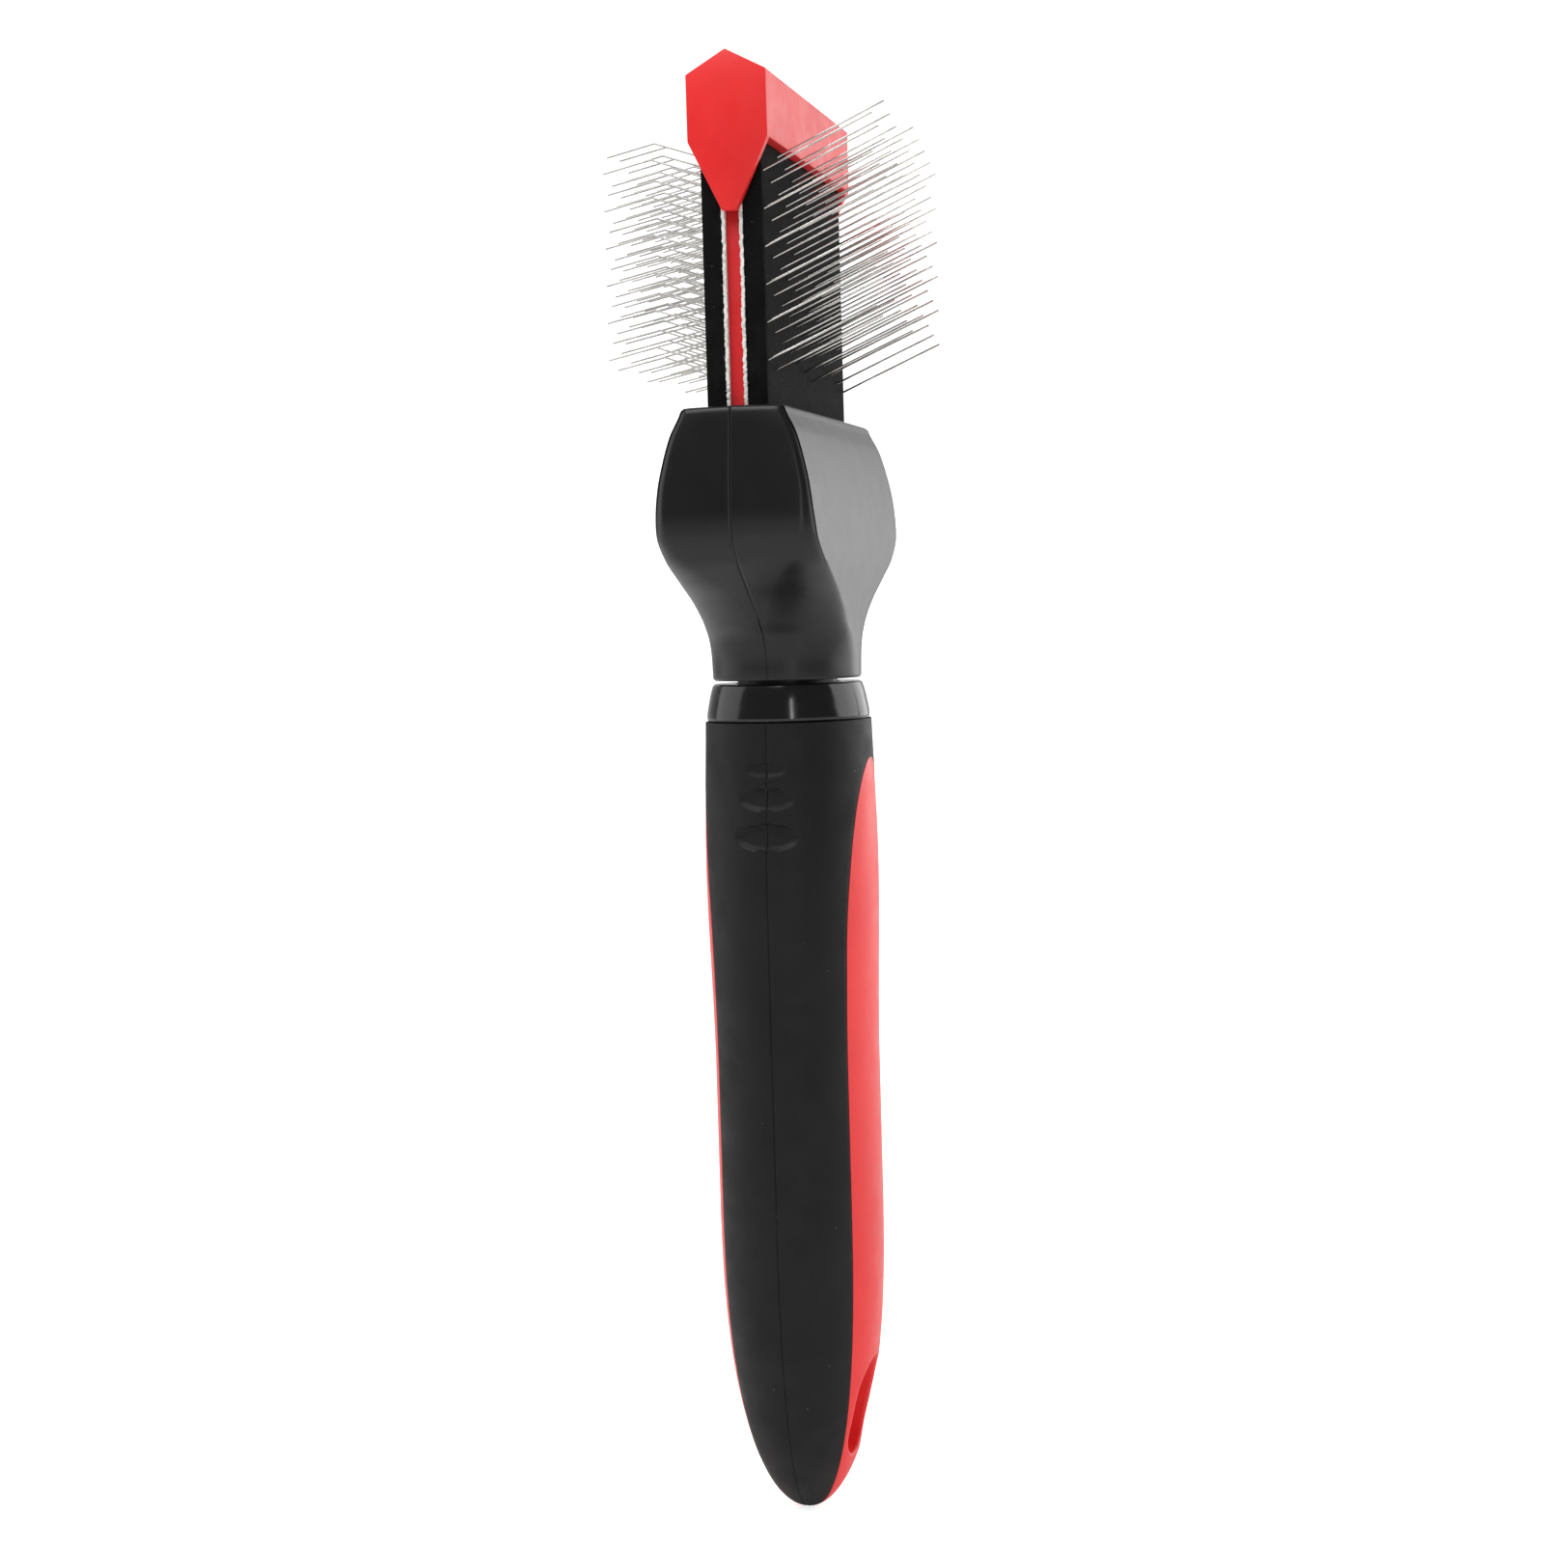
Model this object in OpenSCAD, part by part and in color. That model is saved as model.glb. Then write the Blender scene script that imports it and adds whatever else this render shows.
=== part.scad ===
// Two-sided dematting comb: a flexible pin head on a swivelling yoke and a soft-grip handle.
// X runs through the two pin faces, Y runs along the head, Z runs up the handle to the head.
// The origin is the lower tip of the handle, on the swivel axis.

/* [Handle] */
// Length of the handle from its tip to the collar
handle_len = 116; // [100:1:130]
// Thickness of the handle through its red windows
handle_t = 23.4; // [22:0.2:26]
// Width of the handle across its rubber sides
handle_w = 28; // [26:0.5:32]
// Length of the rounded lower end
nose_len = 48; // [36:1:56]
// Extra half thickness where the palm sits
palm_bulge = 0.6; // [0:0.1:1.2]
// Thickness of the rubber skin
skin = 1.8; // [1.2:0.1:2.4]
// Height of the top of each window
window_top = 110.5; // [96:0.5:112]
// Half width of a window
window_half_w = 8.4; // [6:0.2:9.2]
// Height of the arch at the top of a window
window_arch = 27; // [15:1:34]

/* [Hang hole] */
// Width of the hang hole
hole_w = 10; // [6:0.5:11]
// Length of the hang hole
hole_len = 14.4; // [12:0.2:18]
// Height of the middle of the hang hole
hole_z = 15.6; // [14:0.2:24]

/* [Swivel] */
// Radius of the spindle
spindle_r = 7.2; // [5:0.1:7.4]
// Running clearance round the spindle
running_gap = 0.06; // [0.03:0.01:0.1]
// Visible gap between the collar and the yoke
neck_gap = 0.5; // [0.4:0.1:0.8]
// Height of the collar above the handle
collar_h = 5.4; // [4:0.1:7]

/* [Yoke] */
// Height of the yoke
yoke_h = 37.1; // [34:0.1:42]
// Length of the yoke at its mouth
yoke_len = 50; // [49.5:0.5:56]
// Thickness of the yoke at its mouth
yoke_mouth_t = 14.2; // [14:0.1:16]
// Greatest thickness of the yoke
yoke_t = 22.4; // [22.4:0.2:24]

/* [Head] */
// Length of the head
head_len = 45; // [42:0.5:46]
// Thickness of the cap
cap_t = 11.1; // [10.4:0.1:12]
// Height of the comb from the handle's tip to the top of the cap
total_h = 206; // [202:0.5:212]
// Thickness of the flexible blade
blade_t = 2; // [1.8:0.02:2.4]
// Thickness of the fabric backing
fabric_t = 0.45; // [0.45:0.05:0.6]
// Thickness of the foam
foam_t = 2.85; // [2:0.05:2.95]

/* [Pins] */
// Number of pin columns on each face
columns = 12; // [8:1:12]
// Number of staples in each column, with two pins to a staple
staples = 3; // [2:1:3]
// Distance between pins in a column
pin_pitch = 5; // [4.6:0.1:5]
// Distance between columns
column_pitch = 3.7; // [3.2:0.1:3.7]
// Number of rows of staples in each column of the denser soft face
soft_rows = 2; // [1:1:2]
// Wire diameter on the firm face
firm_d = 0.3; // [0.25:0.01:0.44]
// Wire diameter on the soft face
soft_d = 0.25; // [0.2:0.01:0.35]
// How far the firm pins reach out of the foam
firm_reach = 15; // [10:0.5:16]
// How far the soft pins reach out of the foam
soft_reach = 14; // [10:0.5:16]

/* [Hidden] */
$fn = 64;

// Half gap at the seam between two halves, and the slip that keeps fixed pieces just apart
seam_gap = 0.02;
slip = 0.02;
// Far enough to reach out of any piece
reach = 40;
ring_points = 40;
black = [0.1, 0.1, 0.1];
rubber = [0.14, 0.14, 0.14];
red = [0.93, 0.13, 0.14];

// Hollow inside the two core halves
core_cavity_r = 6.5;
core_cavity_low = 34;
core_cavity_top = 90;

// Radius where the collar and the yoke meet
neck_r = 10.6;

// Swivel sizes and heights
socket_r = 9.4;
socket_depth = 10;
socket_low = handle_len - socket_depth;
clip_pocket_depth = 6;
clip_pocket_low = socket_low - clip_pocket_depth;
clip_r = 8.4;
clip_room = 0.6;
clip_gap_w = 5;
washer_t = 1;
washer_room = 0.3;
clip_t = 1;
clip_top = socket_low - washer_t - running_gap;
groove_depth = 1;
groove_slack = 0.05;
collar_top = handle_len + collar_h;
yoke_low = collar_top + neck_gap;
spindle_tail = 1.4;
spindle_low = clip_top - clip_t - spindle_tail;
flange_r = 8.8;
flange_h = 3;
flange_low = yoke_low + 7;
spindle_top = flange_low + flange_h + 5;
spindle_bore_r = 4;
// Friction ring in its groove, which it stands out of a little to rub in the collar
ring_z = handle_len - 3;
ring_wire_r = 0.8;
ring_proud = 0.03;

// Yoke and head heights
yoke_top = yoke_low + yoke_h;
mouth_t = 11.6;
mouth_len = yoke_len - 4.6;
bead_r = 2;
bead_z = yoke_top - 9;
mouth_floor = bead_z + 0.4;
stack_low = bead_z + 2.6;
cap_shoulder_drop = 3;
cap_side_h = 8.8;
cap_under = total_h - cap_shoulder_drop - cap_side_h;
tab_t = 1.2;
tab_h = 9.3;
tang_h = 6;
pad_len = head_len - 2 * tab_t - 0.2;
blade_len = pad_len - 0.8;
socket_len = blade_len + 0.4;
fabric_in = blade_t / 2;
foam_in = fabric_in + fabric_t;
foam_out = foam_in + foam_t;

// Pin lattice: each column sits one step lower than the last and wraps round after a pitch
twill_steps = 5;
top_pin_z = cap_under - 1;
firm_rise = 0.42;
soft_rise = 0.35;
soft_fall = -0.2;
knee_share = 0.51;
// Bends in the wire swell a little
bend_swell = 1.08;
wire_facets = 16;

// ---- shapes shared by several pieces ----

// Ring of an oval a little squarer than an ellipse, with half sizes a and b
oval_power = 2.1;
function bow(v) = sign(v) * pow(abs(v), 2 / oval_power);
function oval_ring(a, b) = [
    for (k = [0:ring_points - 1])
        let (t = k * 360 / ring_points) [a * bow(cos(t)), b * bow(sin(t))]
];

// Ring of a rectangle with half sizes a and b and corner radius r, whose sides bulge by a small crown
corner_steps = 6;
side_steps = 2;
function corner(a, b, r) = concat(
    [for (k = [0:side_steps - 1]) [a, (b - r) * k / side_steps]],
    [for (k = [0:corner_steps]) let (t = 90 * k / corner_steps) [a - r + r * cos(t), b - r + r * sin(t)]],
    [for (k = [1:side_steps - 1]) [(a - r) * (1 - k / side_steps), b]]
);
function turned(points, sx, sy) = [for (p = points) [sx * p[0], sy * p[1]]];
function backwards(points) = [for (k = [len(points) - 1:-1:1]) points[k]];
function soft_ring(a, b, r) =
    let (q = corner(a, b, r), top = [[0, b]], low = [[0, -b]])
        concat(q, top, turned(backwards(q), -1, 1), turned(q, -1, -1), low, turned(backwards(q), 1, -1));

// Solid through a stack of rings with the same number of points, each [height, points]
module loft(rings) {
    n = len(rings[0][1]);
    last = len(rings) - 1;
    points = [for (r = rings) for (p = r[1]) [p[0], p[1], r[0]]];
    sides = [
        for (i = [0:last - 1]) for (k = [0:n - 1])
            let (a = i * n + k, b = i * n + (k + 1) % n) each [[a, a + n, b], [b, a + n, b + n]]
    ];
    ends = [[for (k = [0:n - 1]) k], [for (k = [0:n - 1]) last * n + n - 1 - k]];
    polyhedron(points, concat(sides, ends));
}

// Half of space on one side of the X = 0 seam: side is 1 for right and -1 for left
module half_space(side) {
    translate([side > 0 ? seam_gap : -seam_gap - reach, -reach, -5])
        cube([reach, 2 * reach, total_h]);
}

// ---- handle ----

// The palm's swelling fades out 30 either side of its middle
palm_mid = 96;
palm_spread = 30;
// The width draws in from here up to the collar
neck_low = 92;
neck_draw = 1.8;
// The nose is a little blunter than an ellipse
nose_power = 2.6;
function nose(z) = z >= nose_len ? 1 : sqrt(1 - pow(1 - z / nose_len, nose_power));
function palm(z) = palm_bulge * (1 + cos(min(180, abs(z - palm_mid) * 180 / palm_spread))) / 2;
function neck_share(z) = z < neck_low ? 0 : (z - neck_low) / (handle_len - neck_low);
function neck_in(z) = neck_draw * (1 - cos(180 * neck_share(z))) / 2;
function handle_half_t(z) = handle_t / 2 * nose(z) + palm(z);
function handle_half_w(z) = (handle_w / 2 - neck_in(z)) * nose(z);

// Heights of the rings: close together round the tip, then even steps up to the collar
handle_steps = [
    for (i = [0:9]) nose_len * (1 - cos(i * 10)),
    for (i = [1:8]) nose_len + i * (handle_len - nose_len) / 8
];

// Handle's outer form, or the form this far inside it; never thinner than the least half size
least_half = 0.4;
module handle_form(inset) {
    loft([
        for (z = handle_steps)
            let (a = max(least_half, handle_half_t(z) - inset), b = max(least_half, handle_half_w(z) - inset))
                [z, oval_ring(a, b)]
    ]);
}

// Window outline in the Y-Z plane: an arch at the top, narrowing with the nose down to the tip.
// It starts this far from the seam.
window_deep = 2;
arch_step = 12;
// The core stands this far clear of the rubber round the window
window_slip = 0.03;
module window_prism(side, trim) {
    half = window_half_w - trim;
    spring = window_top - trim - window_arch;
    arch = [for (a = [0:arch_step:180]) [half * cos(a), spring + window_arch * sin(a)]];
    toe = [for (z = handle_steps) if (z < nose_len) [half * nose(z), z]];
    last = len(toe) - 1;
    rotate([90, 0, 90])
        translate([0, 0, side > 0 ? window_deep : -window_deep - reach])
            linear_extrude(reach)
                polygon(concat(arch, [for (i = [last:-1:0]) [-toe[i][0], toe[i][1]]], toe));
}

// Slot right through the handle along X
module hang_slot() {
    straight = hole_len - hole_w;
    rotate([0, 90, 0]) {
        for (end = [-1, 1])
            translate([-hole_z - end * straight / 2, 0, -reach]) cylinder(h = 2 * reach, d = hole_w);
        translate([-hole_z - straight / 2, -hole_w / 2, -reach]) cube([straight, hole_w, 2 * reach]);
    }
}

module core_half(side) {
    color(red)
        difference() {
            intersection() {
                union() {
                    handle_form(skin);
                    intersection() {
                        handle_form(0);
                        window_prism(side, window_slip);
                    }
                }
                half_space(side);
            }
            hang_slot();
            translate([0, 0, core_cavity_low])
                cylinder(h = core_cavity_top - core_cavity_low, r = core_cavity_r);
            translate([0, 0, socket_low]) cylinder(h = socket_depth + 1, r = socket_r);
            translate([0, 0, clip_pocket_low])
                cylinder(h = clip_pocket_depth + 1, r = clip_r + clip_room);
        }
}

module grip_half(side) {
    color(rubber)
        difference() {
            intersection() {
                handle_form(0);
                half_space(side);
            }
            handle_form(skin - slip);
            window_prism(side, 0);
            hang_slot();
        }
}

// ---- swivel ----

// The collar's skirt fills the socket and its rim tapers up to the neck
collar_foot_r = 11.6;
collar_wide_r = 11.75;
collar_mid_r = 11.4;
collar_lip_r = 10.9;
module collar() {
    bore = spindle_r + running_gap;
    skirt_r = socket_r - slip;
    rim_low = handle_len + 0.05;
    color(black)
        rotate_extrude()
            polygon([
                [bore, socket_low], [skirt_r, socket_low], [skirt_r, rim_low],
                [collar_foot_r, rim_low], [collar_wide_r, handle_len + 0.6], [collar_mid_r, handle_len + 3],
                [collar_lip_r, collar_top - 0.3], [neck_r, collar_top], [bore, collar_top]
            ]);
}

module thrust_washer() {
    color("white")
        translate([0, 0, socket_low - washer_t])
            difference() {
                cylinder(h = washer_t - slip, r = clip_r);
                translate([0, 0, -1]) cylinder(h = washer_t + 2, r = spindle_r + washer_room);
            }
}

module spindle() {
    color(black)
        difference() {
            union() {
                translate([0, 0, spindle_low]) cylinder(h = spindle_top - spindle_low, r = spindle_r);
                translate([0, 0, flange_low]) cylinder(h = flange_h, r = flange_r);
            }
            translate([0, 0, clip_top - clip_t - groove_slack])
                difference() {
                    cylinder(h = clip_t + 2 * groove_slack, r = spindle_r + 1);
                    cylinder(h = clip_t + 2 * groove_slack, r = spindle_r - groove_depth);
                }
            translate([0, 0, ring_z])
                rotate_extrude()
                    translate([spindle_r - ring_wire_r + ring_proud, 0]) circle(r = ring_wire_r + slip);
            translate([0, 0, spindle_low - 1])
                cylinder(h = spindle_top - spindle_low - 4, r = spindle_bore_r);
        }
}

module spindle_clip() {
    color("silver")
        translate([0, 0, clip_top - clip_t])
            difference() {
                cylinder(h = clip_t, r = clip_r);
                translate([0, 0, -1]) cylinder(h = clip_t + 2, r = spindle_r - groove_depth + slip);
                translate([0, -clip_gap_w / 2, -1]) cube([clip_r + 1, clip_gap_w, clip_t + 2]);
            }
}

module friction_ring() {
    color(rubber)
        translate([0, 0, ring_z])
            rotate_extrude()
                translate([spindle_r - ring_wire_r + ring_proud, 0]) circle(r = ring_wire_r);
}

// ---- yoke ----

// Stations from the round neck to the long mouth: [share of height, half X, half Y, corner radius]
max_x = yoke_t / 2;
max_y = yoke_len / 2;
mouth_x = yoke_mouth_t / 2;
yoke_stations = [
    [0, neck_r - 0.25, neck_r - 0.25, neck_r - 0.65], [0.008, neck_r, neck_r, neck_r - 0.4],
    [0.08, neck_r, neck_r + 0.3, neck_r - 0.4], [0.15, neck_r, neck_r + 1, neck_r - 0.6],
    [0.22, max_x - 0.7, neck_r + 3.3, 9.4], [0.3, max_x - 0.5, neck_r + 6.4, 8.2],
    [0.38, max_x - 0.2, max_y - 4.2, 6.2], [0.46, max_x, max_y - 0.9, 3.6],
    [0.54, max_x, max_y + 0.9, 2.2], [0.62, max_x - 0.2, max_y + 1.2, 1.7],
    [0.71, max_x - 0.6, max_y + 1, 1.4], [0.8, max_x - 1.3, max_y + 0.7, 1.3],
    [0.9, max_x - 2.4, max_y + 0.3, 1.2], [0.97, mouth_x + 0.4, max_y, 1.1],
    [0.99, mouth_x + 0.1, max_y - 0.2, 1], [1, mouth_x - 0.4, max_y - 0.6, 0.8]
];

module yoke_form() {
    loft([for (s = yoke_stations) [yoke_low + s[0] * yoke_h, soft_ring(s[1], s[2], s[3])]]);
}

// The left shell; the right one is its mirror image
module yoke_shell(side) {
    color(black)
        mirror([side > 0 ? 1 : 0, 0, 0])
            difference() {
                intersection() {
                    yoke_form();
                    half_space(-1);
                }
                translate([-mouth_t / 2, -mouth_len / 2, mouth_floor])
                    cube([mouth_t, mouth_len, yoke_h]);
                translate([0, -socket_len / 2, bead_z])
                    rotate([-90, 0, 0]) cylinder(h = socket_len, r = bead_r + running_gap);
                translate([0, 0, yoke_low - 1])
                    cylinder(h = spindle_top - yoke_low + 1 + slip, r = spindle_r + slip);
                translate([0, 0, flange_low - slip])
                    cylinder(h = flange_h + 2 * slip, r = flange_r + slip);
            }
}

// ---- head ----

module flex_blade() {
    color([0.82, 0.16, 0.17])
        union() {
            translate([-blade_t / 2, -blade_len / 2, bead_z])
                cube([blade_t, blade_len, cap_under + tang_h - bead_z]);
            translate([0, -blade_len / 2, bead_z])
                rotate([-90, 0, 0]) cylinder(h = blade_len, r = bead_r);
        }
}

module head_cap() {
    half = cap_t / 2;
    shoulder = total_h - cap_shoulder_drop;
    color(red)
        difference() {
            union() {
                translate([0, head_len / 2, 0])
                    rotate([90, 0, 0])
                        linear_extrude(head_len)
                            polygon([
                                [0, total_h], [-half, shoulder], [-half, cap_under],
                                [half, cap_under], [half, shoulder]
                            ]);
                for (end = [-1, 1])
                    translate([0, end > 0 ? head_len / 2 : -head_len / 2 + tab_t, 0])
                        rotate([90, 0, 0])
                            linear_extrude(tab_t)
                                polygon([
                                    [-half, cap_under + 1], [-half, cap_under],
                                    [-blade_t / 2, cap_under - tab_h], [blade_t / 2, cap_under - tab_h],
                                    [half, cap_under], [half, cap_under + 1]
                                ]);
            }
            translate([-blade_t / 2 - slip, -blade_len / 2 - slip, cap_under - 1])
                cube([blade_t + 2 * slip, blade_len + 2 * slip, tang_h + 1 + slip]);
        }
}

module pad_slab(side, inner, thickness) {
    top = cap_under - slip;
    translate([side > 0 ? inner : -inner - thickness, -pad_len / 2, stack_low])
        cube([thickness, pad_len, top - stack_low]);
}

module pad_fabric(side) {
    color("white") pad_slab(side, fabric_in, fabric_t);
}

module pad_foam(side) {
    color(black) pad_slab(side, foam_in, foam_t);
}

// ---- pins ----

// The rows of all the columns spread evenly from the first column's middle to the last one's
function row_y(i, row, rows) =
    let (span = (columns - 1) * column_pitch) ((i * rows + row) / (columns * rows - 1) - 0.5) * span;
function column_drop(i) = ((i + 3) % twill_steps) * pin_pitch / twill_steps;

// Straight wire from one point of the X-Z plane to another
module wire(from, to, r) {
    run = to - from;
    translate([from[0], 0, from[1]])
        rotate([0, atan2(run[0], run[1]), 0]) cylinder(h = norm(run), r = r, $fn = wire_facets);
}

// Swollen bend at a point of the X-Z plane
module bend(at, r) {
    translate([at[0], 0, at[1]]) sphere(r = r * bend_swell, $fn = wire_facets);
}

// One staple of two legs and a crown: path is a leg's points, from the fabric to the tip.
// A knee's sphere is turned so that its poles lie across the wire.
module staple(path, r) {
    crown = path[0];
    for (leg = [0, 1])
        translate([0, 0, -leg * pin_pitch]) {
            for (k = [1:len(path) - 1]) wire(path[k - 1], path[k], r);
            bend(crown, r);
            for (k = [1:1:len(path) - 2])
                translate([path[k][0], 0, path[k][1]])
                    rotate([90, 0, 0]) rotate([0, 0, 90]) bend([0, 0], r);
        }
    translate([crown[0], 0, crown[1] - pin_pitch]) cylinder(h = pin_pitch, r = r, $fn = wire_facets);
}

// The second row of a column sits half a pitch off the first
module pin_column(i, path, r, rows) {
    for (row = [0:rows - 1]) {
        drop = (column_drop(i) + row * pin_pitch / rows) % pin_pitch;
        for (s = [0:staples - 1])
            translate([0, row_y(i, row, rows), top_pin_z - drop - 2 * s * pin_pitch]) staple(path, r);
    }
}

crown_x = fabric_in + fabric_t / 2;
firm_path = [
    [crown_x, -firm_rise * (foam_out - crown_x)],
    [foam_out + firm_reach, firm_rise * firm_reach]
];
knee_x = foam_out + soft_reach * knee_share;
knee_z = soft_rise * soft_reach * knee_share;
soft_path = [
    [-crown_x, -soft_rise * (foam_out - crown_x)],
    [-knee_x, knee_z],
    [-foam_out - soft_reach, knee_z + soft_fall * soft_reach * (1 - knee_share)]
];

module firm_pins(i) {
    color("silver") pin_column(i, firm_path, firm_d / 2, 1);
}

module soft_pins(i) {
    color("silver") pin_column(columns - 1 - i, soft_path, soft_d / 2, soft_rows);
}

core_half(-1);  // core_half_left
core_half(1);  // core_half_right
grip_half(-1);  // grip_half_left
grip_half(1);  // grip_half_right
collar();
thrust_washer();
spindle();
spindle_clip();
friction_ring();
yoke_shell(-1);  // yoke_shell_left
yoke_shell(1);  // yoke_shell_right
flex_blade();
head_cap();
pad_fabric(-1);  // pad_fabric_left
pad_fabric(1);  // pad_fabric_right
pad_foam(-1);  // pad_foam_left
pad_foam(1);  // pad_foam_right
for (i = [1:columns]) {
    firm_pins(i - 1);
    soft_pins(i - 1);
}
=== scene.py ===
import math
import random

import bmesh
import bpy
from mathutils import Matrix, Vector


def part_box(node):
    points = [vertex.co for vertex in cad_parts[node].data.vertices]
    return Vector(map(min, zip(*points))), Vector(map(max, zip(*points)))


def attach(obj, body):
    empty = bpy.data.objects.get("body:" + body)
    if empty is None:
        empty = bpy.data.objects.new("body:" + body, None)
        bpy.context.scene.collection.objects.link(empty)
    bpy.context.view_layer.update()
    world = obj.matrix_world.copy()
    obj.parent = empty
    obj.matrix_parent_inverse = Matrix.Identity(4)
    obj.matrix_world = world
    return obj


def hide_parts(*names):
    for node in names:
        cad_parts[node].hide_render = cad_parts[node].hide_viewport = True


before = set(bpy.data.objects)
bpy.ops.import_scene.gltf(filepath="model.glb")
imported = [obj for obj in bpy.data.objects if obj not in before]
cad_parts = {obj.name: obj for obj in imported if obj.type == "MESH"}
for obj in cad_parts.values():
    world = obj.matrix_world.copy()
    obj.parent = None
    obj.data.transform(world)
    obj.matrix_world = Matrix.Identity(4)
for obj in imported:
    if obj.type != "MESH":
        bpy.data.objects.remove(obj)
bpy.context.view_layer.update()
MM = 0.001
rng = random.Random(7)

# ---- sizes taken from the frame -------------------------------------------------------------------

grip_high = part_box("grip_half_right")[1]
HANDLE_TOP = grip_high.z
HANDLE_HALF_W = grip_high.y
yoke_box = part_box("yoke_shell_right")
cap_low, cap_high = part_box("head_cap")
foam_low, foam_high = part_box("pad_foam_right")
fabric_low, fabric_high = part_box("pad_fabric_right")
blade_low, blade_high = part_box("flex_blade")
collar_low, collar_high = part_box("collar")

# Handle form, as the part's source has it
HANDLE_HALF_T = 11.7 * MM
NOSE = 48 * MM
NOSE_POWER = 2.6
PALM = 0.6 * MM
PALM_MID = 96 * MM
PALM_SPREAD = 30 * MM
NECK_LOW = 92 * MM
NECK_DRAW = 1.8 * MM
SKIN = 1.8 * MM
WINDOW_TOP = 110.5 * MM
WINDOW_ARCH = 27 * MM
WINDOW_HALF_W = 8.4 * MM
OVAL_POWER = 2.1
HOLE_W = 10 * MM
HOLE_LEN = 14.4 * MM
HOLE_Z = 15.6 * MM
BLADE_HALF = 1 * MM
# Half gap at the seams, and the height of the fine gap between the rubber and the collar
SEAM = 0.02 * MM
COLLAR_GAP = 0.05 * MM
# Length that counts as nothing
TINY = 1e-6


# ---- mesh helpers ---------------------------------------------------------------------------------

def new_object(name, bm, smooth=True):
    """Turns a bmesh into a linked object with outward faces."""
    bmesh.ops.remove_doubles(bm, verts=bm.verts, dist=1e-7)
    bmesh.ops.recalc_face_normals(bm, faces=bm.faces)
    mesh = bpy.data.meshes.new(name)
    bm.to_mesh(mesh)
    bm.free()
    obj = bpy.data.objects.new(name, mesh)
    bpy.context.scene.collection.objects.link(obj)
    if smooth:
        for p in mesh.polygons:
            p.use_smooth = True
    return obj


def apply_modifiers(obj):
    """Bakes the modifiers into the mesh."""
    graph = bpy.context.evaluated_depsgraph_get()
    mesh = bpy.data.meshes.new_from_object(obj.evaluated_get(graph))
    old = obj.data
    obj.modifiers.clear()
    obj.data = mesh
    bpy.data.meshes.remove(old)
    mesh.name = obj.name
    return obj


def sharpen(obj, degrees):
    """Smooth shading everywhere but across edges sharper than this."""
    bm = bmesh.new()
    bm.from_mesh(obj.data)
    limit = math.radians(degrees)
    for f in bm.faces:
        f.smooth = True
    for e in bm.edges:
        e.smooth = not (len(e.link_faces) == 2 and e.calc_face_angle(0) > limit)
    bm.to_mesh(obj.data)
    bm.free()
    return obj


def skin_rings(bm, rings, ends=True):
    """Faces between successive rings of points, with flat ends if asked for."""
    rows = [[bm.verts.new(p) for p in ring] for ring in rings]
    n = len(rings[0])
    for low, high in zip(rows, rows[1:]):
        for k in range(n):
            bm.faces.new((low[k], low[(k + 1) % n], high[(k + 1) % n], high[k]))
    if ends:
        bm.faces.new(reversed(rows[0]))
        bm.faces.new(rows[-1])


def cut(obj, tool, operation="DIFFERENCE"):
    """Exact boolean with a tool object, which is removed."""
    mod = obj.modifiers.new("cut", "BOOLEAN")
    mod.object = tool
    mod.operation = operation
    mod.solver = "EXACT"
    apply_modifiers(obj)
    bpy.data.objects.remove(tool, do_unlink=True)
    return obj


def face_outwards(obj):
    """Turns every face of a mesh outwards."""
    bm = bmesh.new()
    bm.from_mesh(obj.data)
    bmesh.ops.recalc_face_normals(bm, faces=bm.faces)
    bm.to_mesh(obj.data)
    bm.free()
    return obj


def bevel(obj, width, segments, degrees):
    """Rounds the edges sharper than this."""
    mod = obj.modifiers.new("bevel", "BEVEL")
    mod.width = width
    mod.segments = segments
    mod.limit_method = "ANGLE"
    mod.angle_limit = math.radians(degrees)
    return apply_modifiers(obj)


def between(stations, z):
    """Smooth values between stations, each (z, value, value, ...)."""
    if z <= stations[0][0]:
        return stations[0][1:]
    for i in range(len(stations) - 1):
        a, b = stations[i], stations[i + 1]
        if z <= b[0]:
            before = stations[max(i - 1, 0)]
            after = stations[min(i + 2, len(stations) - 1)]
            t = (z - a[0]) / (b[0] - a[0])
            out = []
            for k in range(1, len(a)):
                ma = slope(before, a, b, k) * (b[0] - a[0])
                mb = slope(a, b, after, k) * (b[0] - a[0])
                out.append(
                    (2 * t**3 - 3 * t**2 + 1) * a[k] + (t**3 - 2 * t**2 + t) * ma
                    + (3 * t**2 - 2 * t**3) * b[k] + (t**3 - t**2) * mb
                )
            return out
    return stations[-1][1:]


def slope(a, b, c, k):
    """Slope at b that never overshoots."""
    left = (b[k] - a[k]) / (b[0] - a[0]) if b[0] > a[0] else None
    right = (c[k] - b[k]) / (c[0] - b[0]) if c[0] > b[0] else None
    if left is None or right is None:
        return left if right is None else right
    if left * right <= 0:
        return 0
    return 2 * left * right / (left + right)


# ---- handle ---------------------------------------------------------------------------------------

def nose(z):
    """Share of its full size that the handle has at a height in its rounded end."""
    return 1 if z >= NOSE else math.sqrt(1 - (1 - z / NOSE) ** NOSE_POWER)


def handle_size(z):
    """Half thickness along X and half width along Y at a height."""
    palm = PALM * (1 + math.cos(min(math.pi, abs(z - PALM_MID) * math.pi / PALM_SPREAD))) / 2
    neck = 0 if z < NECK_LOW else (1 - math.cos((z - NECK_LOW) * math.pi / (HANDLE_TOP - NECK_LOW))) / 2
    return HANDLE_HALF_T * nose(z) + palm, (HANDLE_HALF_W - NECK_DRAW * neck) * nose(z)


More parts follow.
